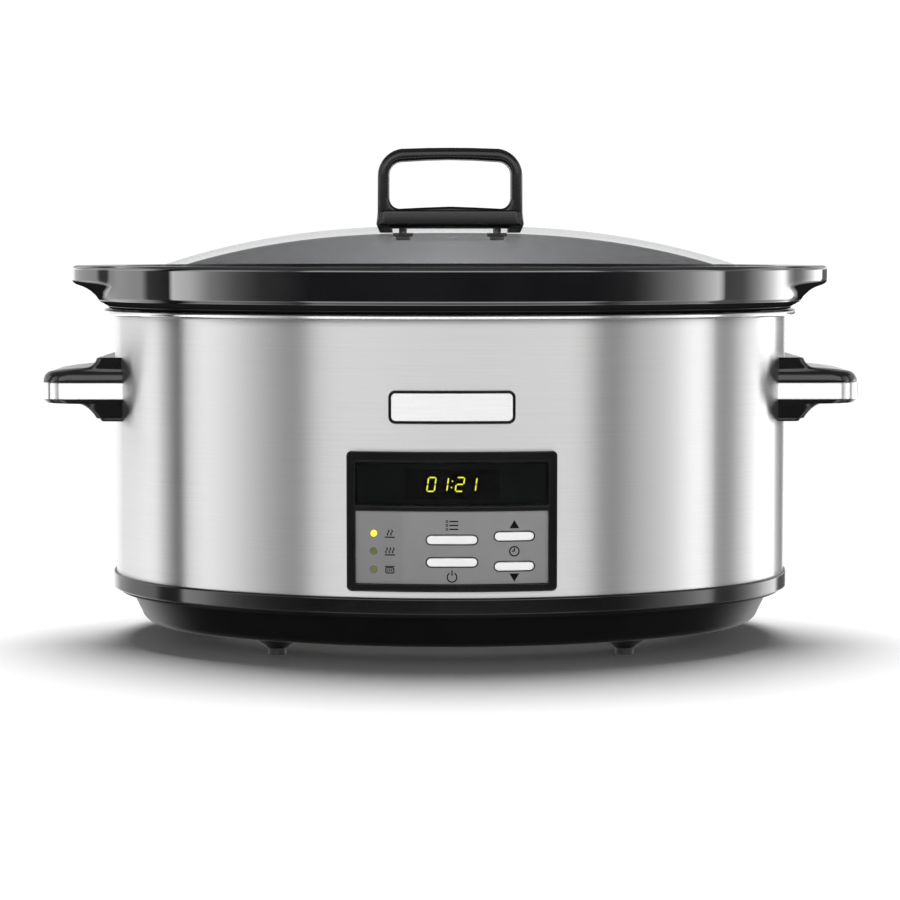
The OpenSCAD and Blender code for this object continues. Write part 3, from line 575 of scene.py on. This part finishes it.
def bend_to_wrap(bm, step=2.5):
    """Bends plates whose local Y is their height above the wrap's front onto its arc."""
    xs = [v.co.x for v in bm.verts]
    x = math.ceil(min(xs) / step) * step
    while x < max(xs):
        bmesh.ops.bisect_plane(bm, geom=bm.verts[:] + bm.edges[:] + bm.faces[:],
                               plane_co=(x, 0, 0), plane_no=(1, 0, 0))
        x += step
    for v in bm.verts:
        reach = LONG_R + v.co.y
        v.co.y = LONG_C - math.sqrt(reach * reach - v.co.x * v.co.x)
    return bm


def as_object(bm, name="tool"):
    bmesh.ops.recalc_face_normals(bm, faces=bm.faces)
    mesh = bpy.data.meshes.new(name)
    bm.to_mesh(mesh)
    bm.free()
    made = bpy.data.objects.new(name, mesh)
    bpy.context.scene.collection.objects.link(made)
    return made


def carve(solid, tools, operation="DIFFERENCE"):
    """Cuts closed tool shapes out of a closed solid, and returns the new solid."""
    body = as_object(solid, "solid")
    cutters = [as_object(t) for t in tools]
    for cutter in cutters:
        cut = body.modifiers.new("cut", "BOOLEAN")
        cut.solver = "EXACT"
        cut.operation = operation
        cut.object = cutter
    found = body.evaluated_get(bpy.context.evaluated_depsgraph_get())
    mesh = bpy.data.meshes.new_from_object(found)
    bm = bmesh.new()
    bm.from_mesh(mesh)
    for made in [body] + cutters:
        bpy.data.objects.remove(made)
    return bm


def prism(points, low, high, axis="y"):
    """A plain prism of an outline, along Y (outline in X and Z) or Z (outline in X and Y)."""
    bm = bmesh.new()
    if axis == "y":
        loft(bm, [[(x, low, z) for x, z in points], [(x, high, z) for x, z in points]])
    else:
        loft(bm, [[(x, y, low) for x, y in points], [(x, y, high) for x, y in points]])
    return bm


def sweep(name, outline, body, slot, nodes, closed=True):
    bm = bmesh.new()
    loft(bm, [oval_ring(x, z) for x, z in outline], closed=closed)
    return new_piece(name, bm, body, slot, nodes)


# ---- Steel wrap, liner, base ring and pan ----

WRAP_LOW, WRAP_HIGH, SHEET = 33.0, 179.4, 0.8
PANEL_Z, PANEL_W, PANEL_H = 76.5, 107.0, 71.3
CUTOUT_W, CUTOUT_H = 100.4, 65.7
INLET_Z, INLET_R = 50.0, 8.0


def make_wrap():
    bm = bmesh.new()
    outline = [(0, WRAP_LOW), (0, WRAP_HIGH), (-SHEET, WRAP_HIGH), (-SHEET, WRAP_LOW)]
    loft(bm, [oval_ring(x, z) for x, z in outline], closed=True)
    opening = prism(rounded_box(CUTOUT_W, CUTOUT_H, 2, 0, PANEL_Z), -165, -125)
    inlet = prism(circle(0, INLET_Z, INLET_R), 130, 160)
    bm = carve(bm, [opening, inlet])
    new_piece("steel_wrap", bm, "base", "brushed_steel", ["outer_wrap"])


def make_liner():
    """The pressed steel liner with its rolled bead over the wrap."""
    outline = [(-60, 61)] + arc(-32.3, 77, 16, -90, 0, 8) + arc(-12.5, 176.4, 3.8, 180, 90, 5)
    outline += arc(4.7, 179.6, 1.6, 110, -220, 16)
    outline += arc(-12.5, 176.4, 3.0, 90, 180, 5) + arc(-32.3, 77, 16.8, 0, -90, 8)
    outline += [(-60, 60.2)]
    sweep("steel_liner", outline, "base", "well_steel", ["heating_well"], closed=False)


def make_ring():
    outline = rounded([
        (-2.8, 29, 0), (1.8, 29, 0.7), (1.8, 37.6, 1.2), (0.05, 37.6, 0), (0.05, 33, 0),
        (-0.85, 33, 0), (-0.85, 36.0, 0), (-2.8, 36.0, 0),
    ])
    sweep("trim_ring", outline, "base", "gloss_black", ["base_ring"])


FOOT_X, FOOT_Y = 92, 80


def make_pan():
    outside = [(-1.5, 29), (-1.5, 27.4), (-2.0, 26.9), (-7.2, 26.9)]
    outside += [(-8.2, 26.4)] + arc(-21, 17, 7.5, -15, -90, 8)
    inside = arc(-21, 17, 5.0, -90, -15, 8) + [(-10.6, 27.6), (-10.6, 29)]
    outline = outside + [(-63, 9.5), (-63, 12)] + inside
    sweep("pan_shell", outline, "base", "pan_black", ["base_pan"])
    bm = bmesh.new()
    boss = [(2.6, 3.7), (6.2, 3.7), (7.6, 5.0), (15, 9.55), (15, 9.7), (2.6, 9.7)]
    turns = [math.tau * i / 48 for i in range(48)]
    for x in (-FOOT_X, FOOT_X):
        for y in (-FOOT_Y, FOOT_Y):
            loft(bm, [[(x + r * math.cos(a), y + r * math.sin(a), z) for a in turns]
                      for r, z in boss], closed=True)
    new_piece("pan_foot_bosses", bm, "base", "pan_black")


# ---- Crock and lid ----

RIM_OUT = 9.0
LUG_C, LUG_R = 133.7, 75.0


def lug_reach(x, a):
    """How far past the rim the lug at each end goes, in this direction."""
    if abs(x) < 1:
        return 0.0
    turn = a if x > 0 else a - math.pi
    away = LUG_C - END_C
    under = LUG_R ** 2 - (away * math.sin(turn)) ** 2
    if under <= 0:
        return 0.0
    past = away * math.cos(turn) + math.sqrt(under) - END_R - RIM_OUT
    soft = 2.5
    if past <= -soft:
        return 0.0
    return past if past >= soft else (past + soft) ** 2 / (4 * soft)


def make_crock():
    """The pot's section, as (offset, height, share of the lug's reach), swept round the oval."""
    wall = [(-60, 66)] + arc(-38, 80, 14, -90, 0, 8) + [(-19.5, 174), (-18.7, 178.5)]
    wall += arc(-17, 180.5, 1.0, 180, 90, 3)
    wall += [(2.2, 181.5), (2.8, 181.8), (3.2, 182.3), (3.4, 182.9), (8.2, 185.6)]
    section = [(x, z, 0.0) for x, z in wall]
    section += [(8.5, 185.9, 0.0), (8.6, 186.4, 0.0), (8.85, 187.1, 0.02)]
    for z, share in ((187.8, 0.04), (189, 0.12), (191, 0.28), (192.4, 0.43), (193.4, 0.58),
                     (194.3, 0.76), (195.0, 0.88), (195.9, 0.95), (197, 0.99), (198, 1.0)):
        section.append((RIM_OUT, z, share))
    section += [(x, z, 1.0) for x, z in arc(6.5, 202.5, 2.5, 0, 90, 7)]
    hollow = arc(-4, 203, 2, 90, 180, 5) + [(-6.3, 198.7), (-7, 198.1), (-15.5, 198.1)]
    hollow += arc(-15.5, 196.1, 2, 90, 160, 4) + [(-26.5, 180)] + arc(-47, 90, 16, 0, -90, 9)
    hollow += [(-60, 74)]
    section += [(x, z, 0.0) for x, z in hollow]
    rings = [oval_ring(off, z, lambda x, a, s=s: s * lug_reach(x, a)) for off, z, s in section]
    bm = bmesh.new()
    loft(bm, rings)
    new_piece("crock_pot", bm, "crock_body", "black_glaze", ["crock"])


DOME_Z, DOME_DROP, DOME_IN, GLASS_T = 226.8, 22.2, 25.0, 4.0


def dome_height(share):
    """The dome's top at a share of the way from its middle to its edge."""
    return DOME_Z - DOME_DROP * share ** 2.5


def make_glass():
    steps = 26
    shares = [0.04 + 0.96 * (i / steps) ** 0.9 for i in range(steps + 1)]
    top = [scaled_ring(-DOME_IN, s, dome_height(s)) for s in shares]
    under = [scaled_ring(-DOME_IN, s, dome_height(s) - GLASS_T + 0.3 * s) for s in shares]
    edge = [(-23.4, 203.4), (-21.5, 202.7)]
    edge += arc(-9.9, 200.5, 1.9, 90, -90, 8) + [(-21.5, 198.6), (-24, 199.0)]
    rim = [oval_ring(x, z) for x, z in edge]
    bm = bmesh.new()
    inside = bm.verts.layers.float.new("inside")
    made = loft(bm, top + rim + under[::-1])
    for ring in made[len(top) + len(rim):]:
        for v in ring:
            v[inside] = 1.0
    new_piece("glass_dome", bm, "lid_body", "lid_glass", ["lid_glass"], sharp=50)


HANDLE_HALF = 12.0


def handle_pad(side):
    """One of the two pads that the handle's foot stands on, let into the glass."""
    bm = bmesh.new()
    loft(bm, [[(x, y, z) for x, y in rounded_box(wide, deep, 2.0, side * middle, 0, 4)]
              for wide, deep, middle, z in
              ((6.6, 24.0, 35.1, 222.9), (7.0, 24.6, 35.3, 223.4), (8.4, 25.4, 36.0, 226.6))])
    return bm


def make_lid_handle():
    right = [(38.8, 226.2), (40.2, 226.6), (40.4, 228), (39.9, 232)]
    right += arc(24.6, 253.8, 15.2, 0, 82, 10)
    crown = [(12, 269.3), (0, 269.4), (-12, 269.3)]
    outer = right + crown + [(-x, z) for x, z in reversed(right)]
    weights = [min(1.0, max(0.1, (z - 228) / 8)) for _, z in outer]
    low_left = arc(-27.5, 242.0, 6, 180, 265, 6)
    high_right = arc(26.5, 255.0, 7, 0, 88, 6)
    hole = high_right + [(13, 262.8), (0, 263.1), (-13, 262.8)]
    hole += [(-x, z) for x, z in reversed(high_right)] + low_left
    hole += [(-14, 236.7), (0, 237.2), (14, 236.7)] + [(-x, z) for x, z in reversed(low_left)]
    bm = bmesh.new()
    plate(bm, outer, [hole], -HANDLE_HALF, HANDLE_HALF, top=3.0, hole_top=1.7,
          bottom=3.0, hole_bottom=1.7, weights=weights)
    foot = bmesh.new()
    levels = [(39.0, 11.6, 225.2), (39.4, 12.0, 226.0), (40.4, 13.0, 227.0), (40.7, 13.3, 227.5),
              (40.6, 13.35, 228.0), (40.0, 13.3, 233.6), (39.7, 13.0, 234.6), (39.4, 12.2, 235.2)]
    loft(foot, [[(x, y, z) for x, y in rounded_box(2 * w, 2 * d, 4.5, 0, 0, 5)]
                for w, d, z in levels])
    bm = carve(bm, [foot, handle_pad(1), handle_pad(-1)], "UNION")
    new_piece("lid_grip", bm, "lid_body", "satin_black", ["lid_handle"])


# ---- Side handles ----

GRIP_REACH, GRIP_HALF = 221.5, 43.0


def grip_ring(reach, half, z, corner, grow=0.0, steps=7):
    """A closed plan ring of the right handle: along the wrap, then round the grip's tip."""
    reach, half = reach + grow, half + grow
    corner = min(corner + grow, reach - 186)
    turn = math.asin(half / END_R)
    wall = [(END_C + END_R * math.cos(a), END_R * math.sin(a)) for a in
            [turn - 2 * turn * i / 12 for i in range(13)]]
    tip = arc(reach - corner, -half + corner, corner, -90, 0, steps)
    tip += arc(reach - corner, half - corner, corner, 0, 90, steps)
    return [(x, y, z) for x, y in wall + tip]


def mirrored(bm, side):
    if side < 0:
        for v in bm.verts:
            v.co.x = -v.co.x
        bmesh.ops.reverse_faces(bm, faces=bm.faces)
    return bm


def make_side_handle(side, label):
    lower = [(188.7, 42.0, 121.0), (189.3, 42.7, 121.5), (189.6, 43, 122.4)]
    lower += [(x, 43, z) for x, z in arc(205, 115, 15.5, 150, 97, 6)]
    tip = [(216.7, 43, 130.6)] + [(x, 43, z) for x, z in arc(218.5, 133.6, 3, -70, 0, 4)]
    upper = [(x, 43 - 1.4 * (1 - math.cos(t)), z) for (x, z), t in
             zip(arc(216.5, 142.9, 5, 0, 78, 6), [math.radians(90 * i / 6) for i in range(7)])]
    upper += [(210.5, 41.4, 148.9), (206, 41.4, 149.3), (204, 41.4, 149.5)]
    upper += [(198.5, 41.4, 149.9)] + [(x, 41.4, z) for x, z in arc(198, 157, 7, -95, -165, 5)]
    upper += [(190.6, 41.4, 155.0), (190.1, 41.0, 155.5)]
    rings = [grip_ring(x, half, z, 14 if x > 205 else max(3, x - 191))
             for x, half, z in lower + tip + upper]
    bm = bmesh.new()
    loft(bm, rings)
    outer = [(x, y) for x, y, _ in grip_ring(GRIP_REACH, GRIP_HALF, 0, 14, 2)[13:]]
    inner = [(x, y) for x, y, _ in grip_ring(GRIP_REACH, GRIP_HALF, 0, 14, -1)[13:]]
    ends = ((168, outer[0][1]), (168, outer[-1][1]), (168, inner[-1][1]), (168, inner[0][1]))
    groove = prism([ends[0]] + outer + [ends[1], ends[2]] + inner[::-1] + [ends[3]],
                   132.55, 142.25, "z")
    pocket = prism([(206.3 + x, y) for x, y in rounded_box(20, 72, 6)], 110, 143, "z")
    bm = mirrored(carve(bm, [groove, pocket]), side)
    new_piece(label + "_grip", bm, "base", "gloss_black", [label + "_handle"])
    band = [(-1, 132.95), (0.3, 132.95), (0.5, 133.25), (0.5, 141.55), (0.3, 141.85), (-1, 141.85)]
    bm = bmesh.new()
    loft(bm, [grip_ring(GRIP_REACH, GRIP_HALF, z, 14, grow, 12) for grow, z in band],
         closed=True)
    new_piece(label + "_grip_band", mirrored(bm, side), "base", "chrome",
              [label + "_handle_trim"])


# ---- Front panel ----

LENS = (98.2, 23.0, 95.7)
FASCIA = (98.2, 37.2, 63.3)
PLATE_T, PLATE_GAP = 1.4, 0.3
ARROW_X, HEAT_X = 31.6, -31.5
BUTTONS = [
    ("menu_button", 0, 67.4, 26.2), ("power_button", 0, 56.0, 26.2),
    ("up_button", ARROW_X, 69.1, 20.6), ("down_button", ARROW_X, 53.8, 20.6),
]
BUTTON_H, BUTTON_GAP = 5.0, 0.5
LED_X, LED_Z, LED_HOLE = -39.6, (70.5, 61.5, 52.2), 1.75


def front_piece(name, parts, body, slot, nodes=()):
    """Bends plates onto the wrap's front: parts are (outer, holes, low, high, top, hole top)."""
    bm = bmesh.new()
    for outer, holes, low, high, top, hole_top in parts:
        plate(bm, outer, holes, low, high, top, hole_top)
    bend_to_wrap(bm)
    return new_piece(name, bm, body, slot, nodes)


def make_panel():
    outer = rounded_box(PANEL_W, PANEL_H, 2.5, 0, PANEL_Z)
    windows = [rounded_box(w, h, 1, 0, z) for w, h, z in (LENS, FASCIA)]
    ledges = [rounded_box(w - 3, h - 3, 1, 0, z) for w, h, z in (LENS, FASCIA)]
    front_piece("panel_frame", [
        (outer, windows, 0.02, 2.6, 0.45, 0.3),
        (rounded_box(100, 65.3, 2, 0, PANEL_Z), ledges, -2, 0.02, 0, 0),
    ], "base", "gloss_black", ["panel_bezel"])
    w, h, z = LENS
    front_piece("lens_plate", [
        (rounded_box(w - PLATE_GAP, h - PLATE_GAP, 0.9, 0, z), [], 0.05, PLATE_T, 0.25, 0),
    ], "base", "tinted_lens", ["display_lens"])
    w, h, z = FASCIA
    holes = [rounded_box(wide + BUTTON_GAP, BUTTON_H + BUTTON_GAP, 2.74, x, zb)
             for _, x, zb, wide in BUTTONS]
    holes += [circle(LED_X, zl, LED_HOLE) for zl in LED_Z]
    front_piece("control_fascia", [
        (rounded_box(w - PLATE_GAP, h - PLATE_GAP, 0.9, 0, z), holes, 0.05, PLATE_T, 0.2, 0.15),
    ], "base", "fascia_grey", ["fascia_plate"])
    for name, x, zb, wide in BUTTONS:
        front_piece(name + "_cap", [
            (rounded_box(wide - BUTTON_GAP, BUTTON_H - BUTTON_GAP, 2.24, x, zb), [],
             -1.0, PLATE_T + 0.6, 0.5, 0),
        ], name + "_body", "button_silver", [name])


def bar(x, z, wide, high):
    return rounded_box(wide, high, min(wide, high) * 0.3, x, z, 2)


def list_and_arrows():
    """The menu list above its button, and an arrow over and under the right buttons."""
    marks = []
    for z in (76.8, 74.8, 72.8):
        marks += [(bar(0.9, z, 4.6, 0.65), []), (bar(-2.6, z, 1.3, 1.3), [bar(-2.6, z, 0.6, 0.6)])]
    up_z, down_z = 75.1, 48.1
    half, base, point = 2.5, 2.0, 2.2
    marks.append(([(ARROW_X - half, up_z - base), (ARROW_X + half, up_z - base),
                   (ARROW_X, up_z + point)], []))
    marks.append(([(ARROW_X - half, down_z + base), (ARROW_X, down_z - point),
                   (ARROW_X + half, down_z + base)], []))
    return marks


def clock_and_power():
    clock_z, power_z = 61.4, 48.4
    marks = [(circle(ARROW_X, clock_z, 2.7), [circle(ARROW_X, clock_z, 2.05)]),
             (bar(ARROW_X, 62.3, 0.6, 1.8), []), (bar(31.0, 61.5, 1.4, 0.6), [])]
    gap = math.radians(62)
    turns = [gap / 2 + (math.tau - gap) * i / 24 for i in range(25)]
    outer, inner = ([(r * math.sin(t), power_z + r * math.cos(t)) for t in turns]
                    for r in (2.75, 2.1))
    return marks + [((outer + inner[::-1])[::-1], []), (bar(0, 50.6, 0.65, 2.8), [])]


def heat_marks():
    """Two or three steam lines over a bar for low and high, and a pot for warm."""
    marks = []
    for row, waves in ((LED_Z[0], 2), (LED_Z[1], 3)):
        for i in range(waves):
            x0 = HEAT_X + (i - (waves - 1) / 2) * 1.7
            left = [(x0 - 0.25 + 0.4 * math.sin(t), row + 1.9 - 3.0 * t / 6.3) for t in
                    [6.3 * k / 10 for k in range(11)]]
            right = [(x + 0.6, z) for x, z in left]
            marks.append((left + right[::-1], []))
        marks.append((bar(HEAT_X, row - 1.9, 5.2, 0.6), []))
    lid, pot = LED_Z[2] + 1.5, LED_Z[2] - 0.5
    hollow = rounded_box(3.6, 2.2, 0.4, HEAT_X, pot)
    marks.append((rounded_box(4.6, 3.2, 0.8, HEAT_X, pot), [hollow]))
    marks.append((bar(HEAT_X, lid, 5.0, 0.5), []))
    return marks + [(bar(HEAT_X + x, pot, 0.45, 1.6), []) for x in (-1, 0, 1)]


def make_icons():
    """Plain printed symbols: menu list, power, arrows, timer and the three heat settings."""
    marks = list_and_arrows() + clock_and_power() + heat_marks()
    front_piece("fascia_marks", [(outer, holes, PLATE_T - 0.02, PLATE_T + 0.03, 0, 0)
                                 for outer, holes in marks], "base", "display_black")


BADGE_Z, BADGE_W, BADGE_H = 134.5, 61.5, 14.0


def make_badge():
    face = rounded_box(BADGE_W, BADGE_H, 2.35, 0, BADGE_Z)
    inner = rounded_box(BADGE_W + 0.1, BADGE_H + 0.1, 2.4, 0, BADGE_Z)
    outer = rounded_box(BADGE_W + 2.9, BADGE_H + 2.9, 3.5, 0, BADGE_Z)
    front_piece("badge_border", [(outer, [inner], 0.0, 1.2, 0.35, 0.2)], "base", "gloss_black")
    front_piece("badge_face", [(face, [], 0.0, 0.95, 0.15, 0)], "base", "badge_silver",
                ["badge_plate"])


make_wrap()
make_liner()
make_ring()
make_pan()
make_crock()
make_glass()
make_lid_handle()
make_side_handle(1, "right")
make_side_handle(-1, "left")
make_panel()
make_icons()
make_badge()
